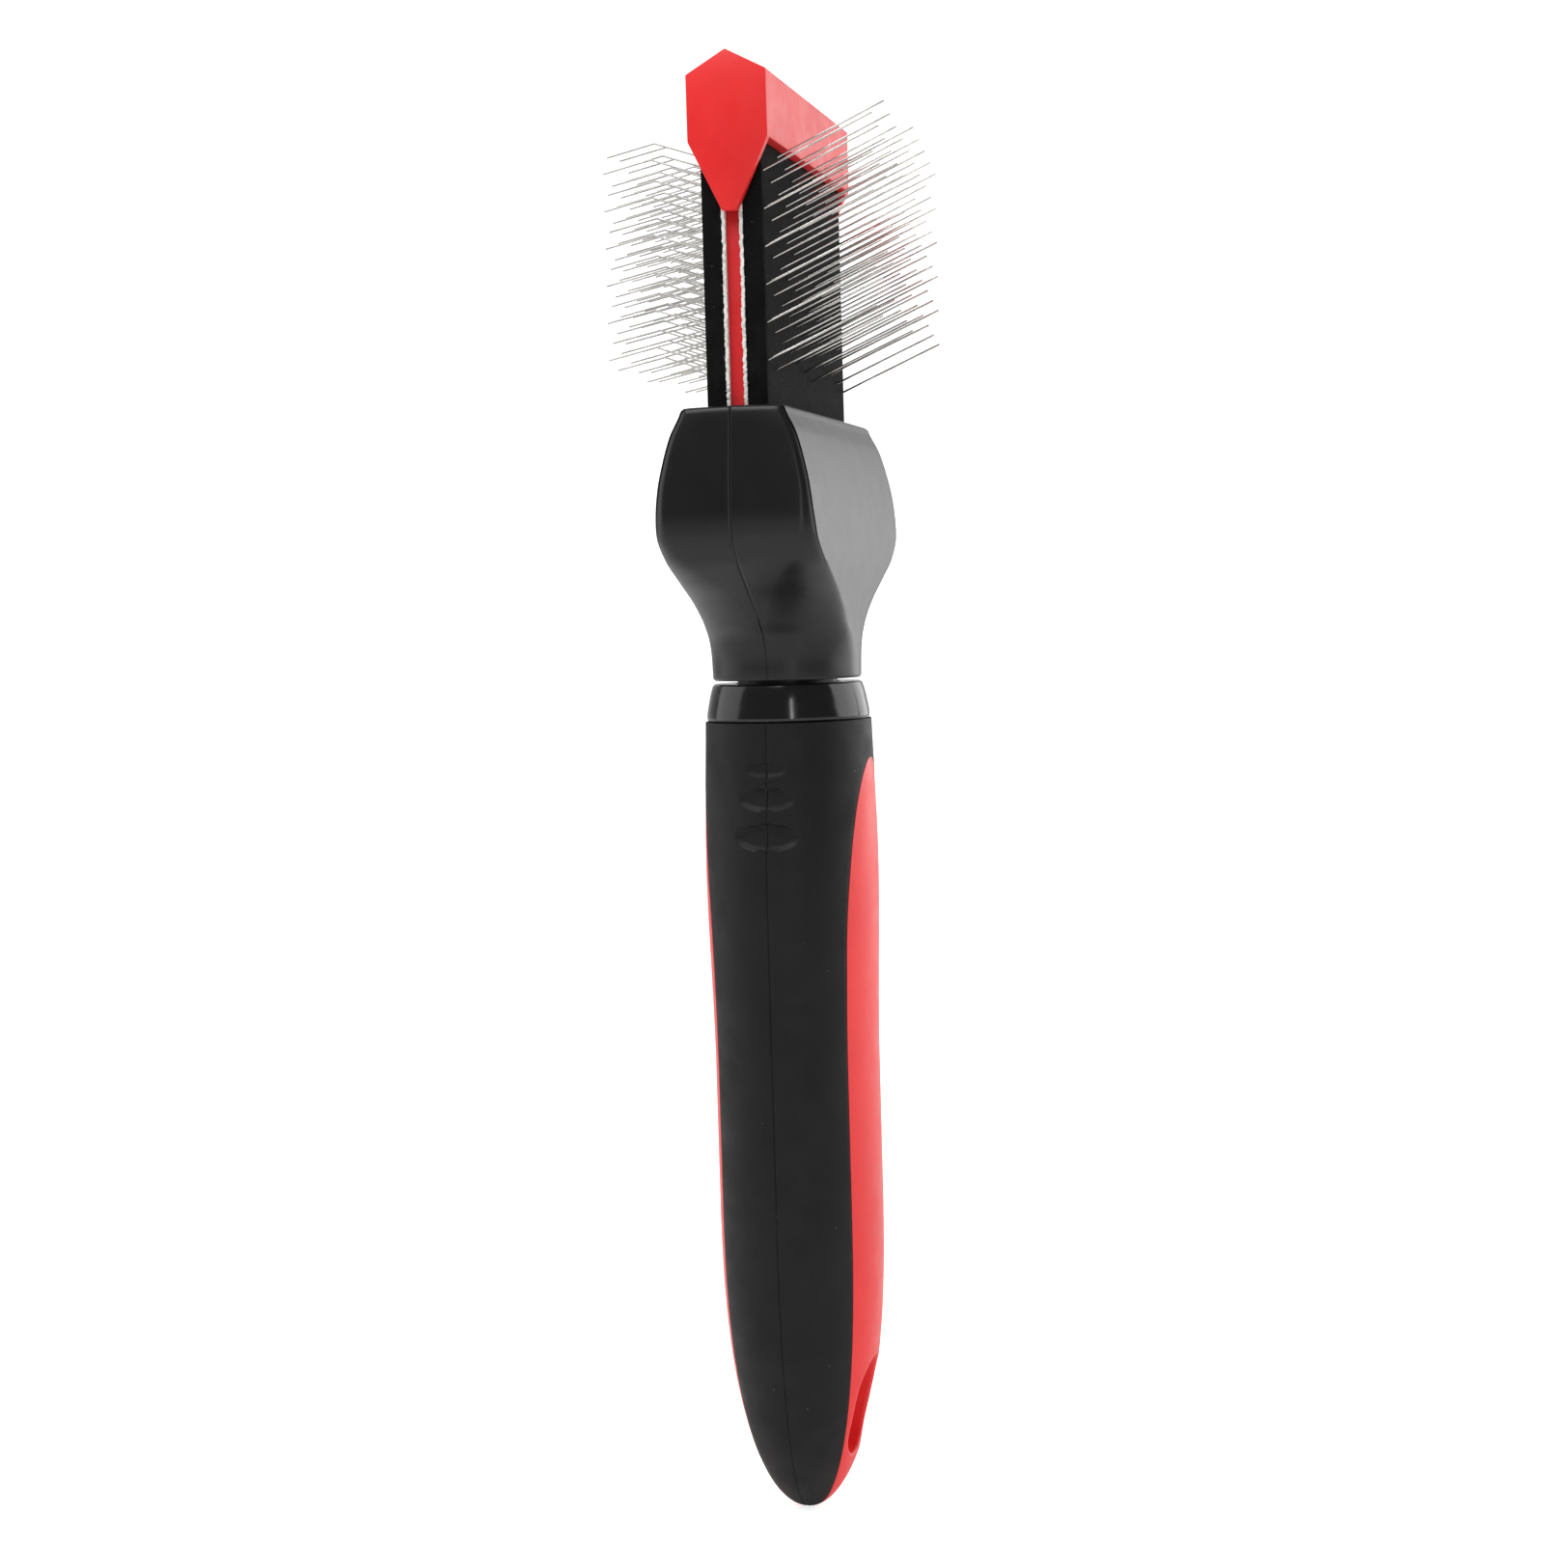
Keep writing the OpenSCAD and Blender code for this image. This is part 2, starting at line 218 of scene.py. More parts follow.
def window_half(z):
    """Half width of the window at a height."""
    if z >= WINDOW_TOP:
        return 0
    spring = WINDOW_TOP - WINDOW_ARCH
    if z > spring:
        return WINDOW_HALF_W * math.sqrt(1 - ((z - spring) / WINDOW_ARCH) ** 2)
    return WINDOW_HALF_W * nose(z)


def oval(z, turn, inset=0):
    """Point of the handle's surface: turn 0 faces X and turn 90 degrees faces Y."""
    least = 0.2 * MM
    a, b = [max(least, size - inset) for size in handle_size(z)]
    c, s = math.cos(turn), math.sin(turn)
    power = 2 / OVAL_POWER
    return Vector((a * abs(c) ** power, math.copysign(b * abs(s) ** power, s), z))


def edge_turn(z):
    """Turn at which the window's edge lies."""
    widest = 0.98
    half_w = handle_size(z)[1]
    half = min(window_half(z), half_w * widest)
    return math.asin((half / max(half_w, TINY)) ** (OVAL_POWER / 2))


def handle_heights(step):
    """Heights that crowd towards the tip and the window's top, none closer than a hair."""
    closest, top_share = 0.02 * MM, 0.1
    tip = [NOSE * (1 - math.cos(math.radians(a))) for a in range(2, 90, 2)]
    count = int((HANDLE_TOP - NOSE) / step)
    rest = [NOSE + (HANDLE_TOP - NOSE) * i / count for i in range(count + 1)]
    top = [WINDOW_TOP - WINDOW_ARCH * (1 - math.cos(math.radians(a))) * top_share for a in range(0, 50, 5)]
    heights = sorted(tip + rest + top)
    return [z for i, z in enumerate(heights) if i == 0 or z - heights[i - 1] > closest]


# Finger dents on the narrow sides, on the seam: (height, half height, half width, depth)
DENTS = [
    (100.2 * MM, 1.9 * MM, 4.55 * MM, 0.8 * MM),
    (105.5 * MM, 1.55 * MM, 4 * MM, 0.6 * MM),
    (109.6 * MM, 0.95 * MM, 2.9 * MM, 0.35 * MM),
]


def dent_depth(x, z):
    """How far a dent sinks at this distance from the seam and height: a flat floor with steep walls."""
    squareness, wall, wall_power, floor_share = 2.4, 0.18, 0.7, 0.75
    depth = 0
    for middle, half_h, half_w, deep in DENTS:
        r = ((x / half_w) ** 2 + abs((z - middle) / half_h) ** squareness) ** 0.5
        if r < 1:
            steep = min(1, (1 - r) / wall) ** wall_power
            depth = max(depth, deep * steep * (floor_share + (1 - floor_share) * (1 - r)))
    return depth


def grip_half(name, side):
    """Rubber moulding of one half: two legs round the window, joined over its top."""
    bm = bmesh.new()
    heights = handle_heights(0.28 * MM)
    # Columns of points: fine ones over the groove and the dents, then even ones up to the window
    groove_half, dent_step, dent_count = 0.16 * MM, 0.3 * MM, 17
    near_seam = [0, groove_half, 2 * groove_half]
    near_seam += [2 * groove_half + dent_step * i for i in range(1, dent_count + 1)]
    inner_count, seam_share = 18, 0.6
    groove, window_lip, lip_below_top, back_share = 0.12 * MM, 0.1 * MM, 0.3 * MM, 0.6
    for y_side in (-1, 1):
        outer, inner = [], []
        for z in heights:
            edge = edge_turn(z)
            full = math.pi / 2 - edge
            a = max(handle_size(z)[0], 1 * MM)
            row_out, row_in = [], []
            turns = [math.pi / 2 - min(full * seam_share, d / a) for d in near_seam]
            start = turns[-1]
            turns += [start + (edge - start) * (i + 1) / inner_count for i in range(inner_count)]
            for k, turn in enumerate(turns):
                p = oval(z, turn)
                sink = dent_depth(p.x, z)
                if k == 0:
                    sink += groove
                if k == len(turns) - 1 and z < WINDOW_TOP - lip_below_top:
                    sink += window_lip
                q = oval(z, turn, SKIN + sink * back_share)
                p = oval(z, turn, sink)
                row_out.append((side * (p.x + SEAM), y_side * p.y, z))
                row_in.append((side * (q.x + SEAM), y_side * q.y, z))
            outer.append(row_out)
            inner.append(row_in)
        rows_out = [[bm.verts.new(p) for p in row] for row in outer]
        rows_in = [[bm.verts.new(p) for p in row] for row in inner]
        n = len(rows_out[0])
        for i in range(len(rows_out) - 1):
            out, out_up, back, back_up = rows_out[i], rows_out[i + 1], rows_in[i], rows_in[i + 1]
            for k in range(n - 1):
                bm.faces.new((out[k], out[k + 1], out_up[k + 1], out_up[k]))
                bm.faces.new((back[k + 1], back[k], back_up[k], back_up[k + 1]))
            bm.faces.new((out[0], out_up[0], back_up[0], back[0]))
            if heights[i] < WINDOW_TOP - TINY:
                bm.faces.new((out[-1], back[-1], back_up[-1], out_up[-1]))
        foot_out, foot_in, top_out, top_in = rows_out[0], rows_in[0], rows_out[-1], rows_in[-1]
        for k in range(n - 1):
            bm.faces.new((foot_out[k + 1], foot_out[k], foot_in[k], foot_in[k + 1]))
            bm.faces.new((top_out[k], top_out[k + 1], top_in[k + 1], top_in[k]))
    return sharpen(new_object(name, bm), 50)


def slot_outline(grow):
    """Outline (y, z) of the hang hole, grown by this much."""
    r = HOLE_W / 2 + grow
    straight = (HOLE_LEN - HOLE_W) / 2
    outline = []
    points = 72
    for i in range(points):
        a = math.tau * (i + 0.5) / points
        shift = straight if math.sin(a) >= 0 else -straight
        outline.append((r * math.cos(a), HOLE_Z + shift + r * math.sin(a)))
    return outline


def surface_x(y, z):
    """Half thickness of the handle at this place."""
    a, b = handle_size(z)
    return a * max(0, 1 - (abs(y) / b) ** OVAL_POWER) ** (1 / OVAL_POWER)


def slot_tool(side):
    """Solid of the hang hole on one side, flared where its rim rounds over into the surface."""
    bm = bmesh.new()
    rim, steps = 0.9 * MM, 6
    far_out, past_seam, proud = 15 * MM, -2 * MM, 0.01 * MM
    rings = [[(far_out, y, z) for y, z in slot_outline(rim)]]
    for i in range(steps + 1):
        turn = math.pi / 2 * i / steps
        rings.append([
            (surface_x(y, z) + proud - rim * (1 - math.cos(turn)), y, z)
            for y, z in slot_outline(rim * (1 - math.sin(turn)))
        ])
    rings.append([(past_seam, y, z) for y, z in slot_outline(0)])
    skin_rings(bm, [[(side * x, y, z) for x, y, z in ring] for ring in rings])
    return new_object("slot_tool", bm, smooth=False)


def core_half(name, side):
    """Red half of the handle: flush in the window, and under the rubber elsewhere."""
    bm = bmesh.new()
    heights = handle_heights(0.8 * MM)
    count = 20
    under, flush = SKIN + 0.05 * MM, 0.04 * MM
    rings = []
    for z in heights:
        edge = edge_turn(z)
        side_span = math.pi / 2 - edge
        row = [oval(z, -math.pi / 2 + side_span * k / count, under) for k in range(count + 1)]
        in_window = flush if edge > 0 else under
        row += [oval(z, -edge + 2 * edge * k / count, in_window) for k in range(count + 1)]
        row += [oval(z, edge + side_span * k / count, under) for k in range(count + 1)]
        rings.append([(side * (p.x + SEAM), p.y, p.z) for p in row])
    skin_rings(bm, rings)
    obj = new_object(name, bm)
    cut(obj, slot_tool(side))
    return sharpen(obj, 38)


# ---- yoke -----------------------------------------------------------------------------------------

# Yoke form, as the part's source has it, and the half sizes of its mouth inside
NECK_R = 10.6 * MM
MAX_X = yoke_box[1].x
MAX_Y = 25 * MM
MOUTH_X = 7.1 * MM
MOUTH_IN_X = 5.8 * MM
MOUTH_IN_Y = 22.7 * MM
# Share of height, half X, half Y, corner radius
YOKE_STATIONS = [
    (0, NECK_R - 0.25 * MM, NECK_R - 0.25 * MM, NECK_R - 0.65 * MM),
    (0.008, NECK_R, NECK_R, NECK_R - 0.4 * MM),
    (0.08, NECK_R, NECK_R + 0.3 * MM, NECK_R - 0.4 * MM),
    (0.15, NECK_R, NECK_R + 1 * MM, NECK_R - 0.6 * MM),
    (0.22, MAX_X - 0.7 * MM, NECK_R + 3.3 * MM, 9.4 * MM),
    (0.3, MAX_X - 0.5 * MM, NECK_R + 6.4 * MM, 8.2 * MM),
    (0.38, MAX_X - 0.2 * MM, MAX_Y - 4.2 * MM, 6.2 * MM),
    (0.46, MAX_X, MAX_Y - 0.9 * MM, 3.6 * MM),
    (0.54, MAX_X, MAX_Y + 0.9 * MM, 2.2 * MM),
    (0.62, MAX_X - 0.2 * MM, MAX_Y + 1.2 * MM, 1.7 * MM),
    (0.71, MAX_X - 0.6 * MM, MAX_Y + 1 * MM, 1.4 * MM),
    (0.8, MAX_X - 1.3 * MM, MAX_Y + 0.7 * MM, 1.3 * MM),
    (0.9, MAX_X - 2.4 * MM, MAX_Y + 0.3 * MM, 1.2 * MM),
    (0.97, MOUTH_X + 0.4 * MM, MAX_Y, 1.1 * MM),
    (0.99, MOUTH_X + 0.1 * MM, MAX_Y - 0.2 * MM, 1 * MM),
    (1, MOUTH_X - 0.4 * MM, MAX_Y - 0.6 * MM, 0.8 * MM),
]


def soft_ring(a, b, r, z, crown=0, sides=14, corners=10):
    """Ring of a rectangle with rounded corners, whose long ends bulge by a small crown."""
    quarter = [(a, (b - r) * k / sides) for k in range(sides)]
    for k in range(corners + 1):
        t = math.pi / 2 * k / corners
        quarter.append((a - r + r * math.cos(t), b - r + r * math.sin(t)))
    quarter += [((a - r) * (1 - k / sides), b) for k in range(1, sides)]
    back = quarter[:0:-1]
    ring = quarter + [(0, b)] + [(-x, y) for x, y in back]
    ring += [(-x, -y) for x, y in quarter] + [(0, -b)] + [(x, -y) for x, y in back]
    points = []
    for x, y in ring:
        drop = math.copysign(crown * (x / a) ** 2, y) if abs(y) > b - r else 0
        points.append(Vector((x, y - drop, z)))
    return points


def yoke_half(name, side):
    """One yoke shell with its mouth, its seam cut with a fine groove."""
    low, high = yoke_box[0].z, yoke_box[1].z
    # The narrow ends bulge a little, growing from nothing above the round neck
    crown, crown_from, crown_over = 0.7 * MM, 0.2, 0.3
    steps, near_top = 90, {0.98, 0.995}
    bm = bmesh.new()
    shares = sorted({i / steps for i in range(steps + 1)} | {s[0] for s in YOKE_STATIONS} | near_top)
    rings = []
    for s in shares:
        a, b, r = between(YOKE_STATIONS, s)
        crowning = min(1, max(0, (s - crown_from) / crown_over))
        rings.append(soft_ring(a, b, r, low + s * (high - low), crown * crowning))
    # Rounded inner rim of the mouth, then its floor: (how far outside the wall, how far below the top) in mm
    mouth_corner = 1.2 * MM
    for out, drop in ((0.25, 0.02), (0.1, 0.12), (0, 0.35), (0, 8.4)):
        rings.append(soft_ring(MOUTH_IN_X + out * MM, MOUTH_IN_Y + out * MM, mouth_corner, high - drop * MM))
    skin_rings(bm, rings)
    bmesh.ops.recalc_face_normals(bm, faces=bm.faces)
    groove_edge, groove_deep = 0.16 * MM, 0.1 * MM
    wall_room, floor_room, spindle_room = 0.8 * MM, 9 * MM, 5 * MM
    everything = bm.verts[:] + bm.edges[:] + bm.faces[:]
    bmesh.ops.bisect_plane(bm, geom=everything, plane_co=(side * groove_edge, 0, 0), plane_no=(1, 0, 0))
    everything = bm.verts[:] + bm.edges[:] + bm.faces[:]
    made = bmesh.ops.bisect_plane(
        bm, geom=everything, plane_co=(side * SEAM, 0, 0), plane_no=(-side, 0, 0), clear_outer=True
    )
    cut_edges = [e for e in made["geom_cut"] if isinstance(e, bmesh.types.BMEdge)]
    for v in {v for e in cut_edges for v in e.verts}:
        outside = abs(v.co.y) > MOUTH_IN_Y + wall_room or v.co.z < high - floor_room
        if outside and abs(v.co.y) > spindle_room:
            v.co.y -= math.copysign(groove_deep, v.co.y)
    bmesh.ops.triangle_fill(bm, edges=cut_edges, use_beauty=True)
    return sharpen(new_object(name, bm), 42)


# ---- collar, cap, blade and pads ------------------------------------------------------------------

def lathe(name, profile, steps=128):
    """Closed ring turned from a profile of (radius, height) points."""
    bm = bmesh.new()
    rings = []
    for radius, z in profile:
        rings.append([
            (radius * math.cos(math.tau * k / steps), radius * math.sin(math.tau * k / steps), z)
            for k in range(steps)
        ])
    skin_rings(bm, rings + [rings[0]], ends=False)
    return sharpen(new_object(name, bm), 30)


def collar_piece():
    """Bearing collar with its skirt in the socket and a tapering rim above."""
    top = collar_high.z
    base = HANDLE_TOP + COLLAR_GAP
    bore, skirt, foot = 7.26 * MM, 9.38 * MM, 11.5 * MM
    profile = [(bore, collar_low.z), (skirt, collar_low.z), (skirt, base), (foot, base)]
    # Radius of the rim, in mm, at each share of its height
    rim = [(0, 11.62), (0.1, 11.74), (0.5, 11.42), (0.9, 10.9), (0.97, 10.75), (1, 10.5)]
    steps = 24
    for i in range(steps + 1):
        profile.append((between(rim, i / steps)[0] * MM, base + (top - base) * i / steps))
    # Flat top, then a soft edge down into the bore
    profile += [(8.1 * MM, top), (7.6 * MM, top - 0.05 * MM), (bore, top - 0.3 * MM)]
    return lathe("collar_ring", profile)


def prism(name, outline, y_low, y_high):
    """Outline of (x, z) points drawn out along Y."""
    bm = bmesh.new()
    skin_rings(bm, [[(x, y, z) for x, z in outline] for y in (y_low, y_high)])
    return new_object(name, bm, smooth=False)


def cap_piece():
    """Peaked red bar with a V-shaped tab at each end."""
    peak, clearance, tab = 3 * MM, 0.02 * MM, 1.2 * MM
    half, end = cap_high.x, cap_high.y
    top, foot = cap_high.z, cap_low.z
    shoulder = top - peak
    under = foam_high.z + clearance
    web = BLADE_HALF
    bar = [(0, top), (-half, shoulder), (-half, under), (half, under), (half, shoulder)]
    tab_outline = bar[:3] + [(-web, foot), (web, foot)] + bar[3:]
    obj = prism("cap_bar", bar, -end + tab / 2, end - tab / 2)
    for y in (-end, end - tab):
        cut(obj, prism("tab_tool", tab_outline, y, y + tab), "UNION")
    # Slot for the blade
    slot_w, slot_end = BLADE_HALF + 0.03 * MM, 20.9 * MM
    slot_low, slot_high = under - 1 * MM, under + 6 * MM
    slot = [(-slot_w, slot_low), (slot_w, slot_low), (slot_w, slot_high), (-slot_w, slot_high)]
    cut(obj, prism("slot_tool", slot, -slot_end, slot_end))
    bevel(obj, 0.32 * MM, 3, 20)
    return sharpen(obj, 40)


def box_grid(name, low, high, step):
    """Box with evenly divided faces."""
    bm = bmesh.new()
    size = [high[i] - low[i] for i in range(3)]
    counts = [max(1, round(size[i] / step)) for i in range(3)]
    for axis in range(3):
        u, v = [i for i in range(3) if i != axis]
        for fixed in (low[axis], high[axis]):
            grid = []
            for i in range(counts[u] + 1):
                row = []
                for j in range(counts[v] + 1):
                    p = [0, 0, 0]
                    p[axis] = fixed
                    p[u] = low[u] + size[u] * i / counts[u]
                    p[v] = low[v] + size[v] * j / counts[v]
                    row.append(bm.verts.new(p))
                grid.append(row)
            for i in range(counts[u]):
                for j in range(counts[v]):
                    bm.faces.new((grid[i][j], grid[i + 1][j], grid[i + 1][j + 1], grid[i][j + 1]))
    return new_object(name, bm)


def at_end(p, low, high):
    """Whether a point of a box lies on one of its two ends along Y."""
    return high[1] - p.y < TINY or p.y - low[1] < TINY


def foam_piece(name, side):
    """Cut slab of fine foam: soft edges, and ends that wander a little where the knife went."""
    low, high = list(foam_low), list(foam_high)
    obj = box_grid(name, low, high, 0.55 * MM)
    round_r, round_share, waver = 0.28 * MM, 0.3, 0.03 * MM
    for v in obj.data.vertices:
        p = v.co
        gaps = [min(p[i] - low[i], high[i] - p[i]) for i in range(3)]
        near = sorted(gaps)
        if near[1] < round_r:
            for i in range(3):
                if gaps[i] < round_r and not (i == 0 and p.x < (low[0] + high[0]) / 2):
                    pull = (round_r - near[1]) * round_share
                    p[i] += pull if p[i] - low[i] < high[i] - p[i] else -pull
        wave = waver * (math.sin(p.z * 900) + math.sin(p.y * 1300 + p.z * 500))
        if at_end(p, low, high):
            p.y -= math.copysign(abs(wave), p.y)
        p.x *= side
    return sharpen(face_outwards(obj), 50)


def fabric_piece(name, side):
    """Woven backing: its cut ends waver as the threads of the weave stop short or run long."""
    low, high = list(fabric_low), list(fabric_high)
    thread = 0.3 * MM
    obj = box_grid(name, low, high, thread)
    jitter = {}
    for v in obj.data.vertices:
        p = v.co
        if at_end(p, low, high):
            key = (round(p.z / thread), p.y > 0)
            if key not in jitter:
                jitter[key] = (rng.uniform(-0.3, 0.2) * MM, rng.uniform(-0.09, 0.09) * MM)
            p.y += math.copysign(jitter[key][0], p.y)
            p.x += jitter[key][1]
        p.x *= side
    return sharpen(face_outwards(obj), 50)


def fray_piece(name, side):
    """Loose fibre ends along the two cut ends of the fabric."""
    bm = bmesh.new()
    count, sides, steps = 200, 3, 3
    inner, outer = fabric_low.x, fabric_high.x
    for end in (-1, 1):
        for _ in range(count):
            highest = cap_low.z - 0.2 * MM if rng.random() < 0.95 else fabric_high.z
            z = rng.uniform(fabric_low.z + 0.5 * MM, highest)
            p = Vector((side * rng.uniform(inner, outer), end * (fabric_high.y - 0.1 * MM), z))
            lean = Vector((side * rng.uniform(-0.5, 0.5), end, rng.uniform(-0.9, 0.9))).normalized()
            droop = Vector((rng.uniform(-1, 1), 0, rng.uniform(-1, 1))) * 0.25
            length = rng.uniform(0.25, 0.75) * MM
            thick = rng.uniform(0.015, 0.03) * MM
            rings = []
            for i in range(steps + 1):
                t = i / steps
                at = p + (lean * t + droop * t * t) * length
                r = thick * (1 - 0.7 * t)
                across = lean.cross(Vector((0.3, 0.1, 1))).normalized()
                other = lean.cross(across)
                turns = [k * math.tau / sides for k in range(sides)]
                rings.append([at + r * (across * math.cos(a) + other * math.sin(a)) for a in turns])
            skin_rings(bm, rings)
    return new_object(name, bm)


def blade_piece():
    """Red web with rounded long edges and the bead at its root."""
    half = BLADE_HALF
    low, high = blade_low.z, blade_high.z
    bead_r = (blade_high.x - blade_low.x) / 2
    bead_z = low + bead_r
    meet = math.asin(half / bead_r)
    steps = 40
    turns = [meet + (math.tau - 2 * meet) * i / steps for i in range(steps + 1)]
    bead = [(bead_r * math.sin(a), bead_z + bead_r * math.cos(a)) for a in turns]
    outline = bead + [(-half, high), (half, high)]
    obj = prism("blade_web", outline, blade_low.y, blade_high.y)
    bevel(obj, 0.12 * MM, 2, 30)
    return sharpen(obj, 40)


# ---- materials ------------------------------------------------------------------------------------

class Graph:
    """Small helper round one material's node tree. Positions are the mesh's own, in metres."""

    def __init__(self, name):
        self.mat = bpy.data.materials.new(name)
        self.mat.use_nodes = True
        self.tree = self.mat.node_tree
        self.shader = next(n for n in self.tree.nodes if n.type == "BSDF_PRINCIPLED")
        self.place = self.tree.nodes.new("ShaderNodeTexCoord").outputs["Object"]

    def plug(self, value, socket):
        """Links another socket to this one, or sets its plain value."""
        if isinstance(value, bpy.types.NodeSocket):
            self.tree.links.new(value, socket)
        else:
            socket.default_value = value

    def node(self, kind, inputs=None, **settings):
        """New node with these settings, and with each input set or linked."""
        n = self.tree.nodes.new(kind)
        for key, value in settings.items():
            setattr(n, key, value)
        for key, value in (inputs or {}).items():
            self.plug(value, n.inputs[key])
        return n

    def noise(self, scale, detail=3, roughness=0.5, stretch=None):
        """Noise over the mesh, drawn out along an axis where its stretch is below 1."""
        place = self.place
        if stretch:
            place = self.node("ShaderNodeMapping", {"Vector": place, "Scale": stretch}).outputs["Vector"]
        inputs = {"Vector": place, "Scale": scale, "Detail": detail, "Roughness": roughness}
        return self.node("ShaderNodeTexNoise", inputs).outputs["Fac"]

    def tone(self, scale, detail, low, high, a, b, roughness=0.5):
        """Two colours that drift into each other with a noise."""
        return self.mix(self.remap(self.noise(scale, detail, roughness), low, high, 0, 1), a, b)

    def combine(self, operation, a, b):
        """The result of one sum on two sockets or values."""
        return self.node("ShaderNodeMath", {0: a, 1: b}, operation=operation).outputs[0]

    def remap(self, value, low, high, to_low, to_high):
        """Carries a value from one range to another and stops at its ends."""
        n = self.node("ShaderNodeMapRange", {
            "Value": value, "From Min": low, "From Max": high, "To Min": to_low, "To Max": to_high
        })
        return n.outputs["Result"]

    def mix(self, factor, a, b):
        """Mixes two colours. The mix node has sockets for each kind of data, so these go by number."""
        factor_in, a_in, b_in, color_out = 0, 6, 7, 2
        n = self.node("ShaderNodeMix", {factor_in: factor, a_in: a, b_in: b}, data_type="RGBA")
        return n.outputs[color_out]

    def bump(self, height, strength, distance, under=None):
        """Surface relief from a height, on top of any relief under it."""
        inputs = {"Height": height, "Strength": strength, "Distance": distance}
        if under:
            inputs["Normal"] = under
        return self.node("ShaderNodeBump", inputs).outputs["Normal"]

    def set(self, **values):
        """Sets or links the shader's own sockets and gives back the material."""
        names = {
            "color": "Base Color", "roughness": "Roughness", "metallic": "Metallic", "normal": "Normal",
            "sheen": "Sheen Weight", "sheen_roughness": "Sheen Roughness", "scatter": "Subsurface Weight",
            "scale": "Subsurface Scale", "specular": "Specular IOR Level", "glow": "Emission Color",
            "glow_strength": "Emission Strength",
        }
        for key, value in values.items():
            self.plug(value, self.shader.inputs[names[key]])
        return self.mat


def rgb(r, g, b):
    """Opaque colour."""
    return (r, g, b, 1)


def specks(g, scale, size):
    """Mask of small scattered dots, such as dust."""
    cells = g.node("ShaderNodeTexVoronoi", {"Vector": g.place, "Scale": scale, "Randomness": 1.0})
    chosen = g.node("ShaderNodeSeparateColor", {"Color": cells.outputs["Color"]}).outputs["Red"]
    few = g.remap(chosen, 0.82, 0.84, 0, 1)
    dot = g.remap(cells.outputs["Distance"], size * 0.4, size, 1, 0)
    return g.combine("MULTIPLY", few, dot)


def rubber_material():
    """Matte rubber with a fine grain, faint waves and a little dust."""
    g = Graph("soft_rubber")
    base = g.tone(90, 4, 0.35, 0.65, rgb(0.006, 0.006, 0.0062), rgb(0.009, 0.009, 0.0092))
    dust = g.combine("MULTIPLY", specks(g, 620, 0.1), 0.5)
    base = g.mix(dust, base, rgb(0.1, 0.1, 0.1))
    grain = g.bump(g.noise(5200, 2), 0.35, 0.00003)
    waves = g.bump(g.noise(160, 2), 0.25, 0.0002, grain)
    rough = g.remap(g.noise(240, 3), 0.3, 0.7, 0.5, 0.64)
    return g.set(color=base, roughness=rough, normal=waves, specular=0.2)


def red_plastic(name, base, deep, rough, specular=0.3):
    """Moulded red plastic with faint flow lines, and a little light under its skin."""
    g = Graph(name)
    color = g.tone(55, 3, 0.35, 0.65, base, deep)
    grain = g.bump(g.noise(3800, 2), 0.3, 0.00001)
    flow = g.bump(g.noise(70, 2, stretch=(1, 1, 0.25)), 0.2, 0.0002, grain)
    shine = g.remap(g.noise(300, 3), 0.3, 0.7, rough - 0.05, rough + 0.06)
    return g.set(
        color=color, roughness=shine, normal=flow, scatter=0.08, scale=0.002, specular=specular,
    )


def satin_black():
    """Black moulding with a fine spark-eroded grain."""
    g = Graph("satin_black")
    color = g.tone(60, 3, 0.35, 0.65, rgb(0.005, 0.005, 0.0052), rgb(0.008, 0.008, 0.0082))
    spark = g.bump(g.noise(4200, 2), 0.4, 0.00002)
    rough = g.remap(g.noise(260, 3), 0.3, 0.7, 0.3, 0.33)
    return g.set(color=color, roughness=rough, normal=spark, specular=0.33)


def gloss_black(name="gloss_black", rough=0.1):
    """Smooth black with a faint ripple."""
    g = Graph(name)
    color = g.tone(80, 3, 0.35, 0.65, rgb(0.006, 0.006, 0.0062), rgb(0.009, 0.009, 0.0092))
    ripple = g.bump(g.noise(350, 3), 0.12, 0.00005)
    shine = g.remap(g.noise(500, 4), 0.3, 0.75, rough, rough + 0.1)
    return g.set(color=color, roughness=shine, normal=ripple)


def foam_material():
    """Dull black foam with fine pores and specks of lint."""
    g = Graph("black_foam")
    cells = g.node("ShaderNodeTexVoronoi", {"Vector": g.place, "Scale": 3600.0})
    pores = g.bump(cells.outputs["Distance"], 0.8, 0.00006)
    grain = g.bump(g.noise(1500, 4), 0.4, 0.00006, pores)
    lint = g.combine("MULTIPLY", specks(g, 700, 0.12), 0.3)
    color = g.tone(400, 4, 0.35, 0.7, rgb(0.003, 0.003, 0.003), rgb(0.006, 0.006, 0.006))
    color = g.mix(lint, color, rgb(0.1, 0.1, 0.1))
    rough = g.remap(cells.outputs["Distance"], 0, 0.6, 0.95, 0.8)
    return g.set(color=color, roughness=rough, normal=grain, specular=0.08)


